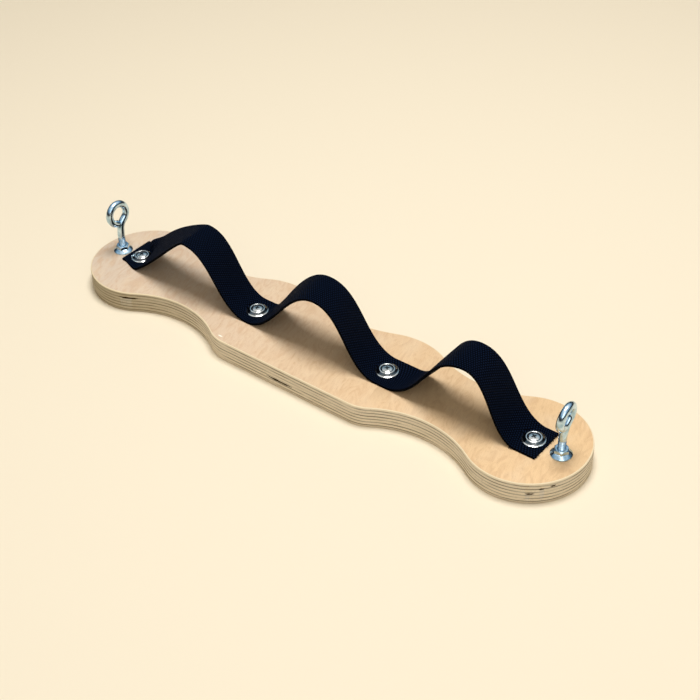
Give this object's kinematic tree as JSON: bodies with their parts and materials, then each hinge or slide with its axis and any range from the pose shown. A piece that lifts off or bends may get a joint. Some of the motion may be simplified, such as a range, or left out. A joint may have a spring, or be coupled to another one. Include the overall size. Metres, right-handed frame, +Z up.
{
  "type": "hanging board with webbing loops",
  "caption": "Contoured plywood board with a strip of webbing screwed down in upright loops and a bent-wire eye bolt with a flange nut in each rounded end, for hanging it.",
  "frame": {"origin": "middle of the board's underside", "axes": "+X along the board towards the right eye bolt, +Y across it towards the scalloped edge, +Z up from the underside through the loops"},
  "size_m": [0.47, 0.094, 0.0702],
  "materials": {
    "plywood": "sanded birch plywood, clear matt lacquer",
    "webbing": "woven black synthetic webbing",
    "nickel_plate": "bright nickel plate",
    "zinc_plate": "bright blue zinc plate"
  },
  "bodies": {
    "board": {"board": "plywood", "strap": "webbing", "cup_washer_1": "nickel_plate", "cup_washer_2": "nickel_plate", "cup_washer_3": "nickel_plate", "cup_washer_4": "nickel_plate", "strap_screw_1": "nickel_plate", "strap_screw_2": "nickel_plate", "strap_screw_3": "nickel_plate", "strap_screw_4": "nickel_plate", "tee_nut_left": "zinc_plate", "tee_nut_right": "zinc_plate"},
    "eye_left": {"eye_bolt_left": "zinc_plate"},
    "eye_right": {"eye_bolt_right": "zinc_plate"},
    "nut_left": {"flange_nut_left": "zinc_plate"},
    "nut_right": {"flange_nut_right": "zinc_plate"}
  },
  "joints": [
    {"name": "eye_left_turn", "type": "hinge", "parent": "board", "child": "eye_left", "pos_m": [-0.216, 0, 0.018], "axis": [0, 0, 1], "range_deg": [-180, 180]},
    {"name": "eye_right_turn", "type": "hinge", "parent": "board", "child": "eye_right", "pos_m": [0.216, 0, 0.018], "axis": [0, 0, 1], "range_deg": [-180, 180]},
    {"name": "nut_left_turn", "type": "hinge", "parent": "eye_left", "child": "nut_left", "pos_m": [-0.216, 0, 0.021], "axis": [0, 0, 1], "range_deg": [0, 360]},
    {"name": "nut_right_turn", "type": "hinge", "parent": "eye_right", "child": "nut_right", "pos_m": [0.216, 0, 0.021], "axis": [0, 0, 1], "range_deg": [0, 360]}
  ]
}
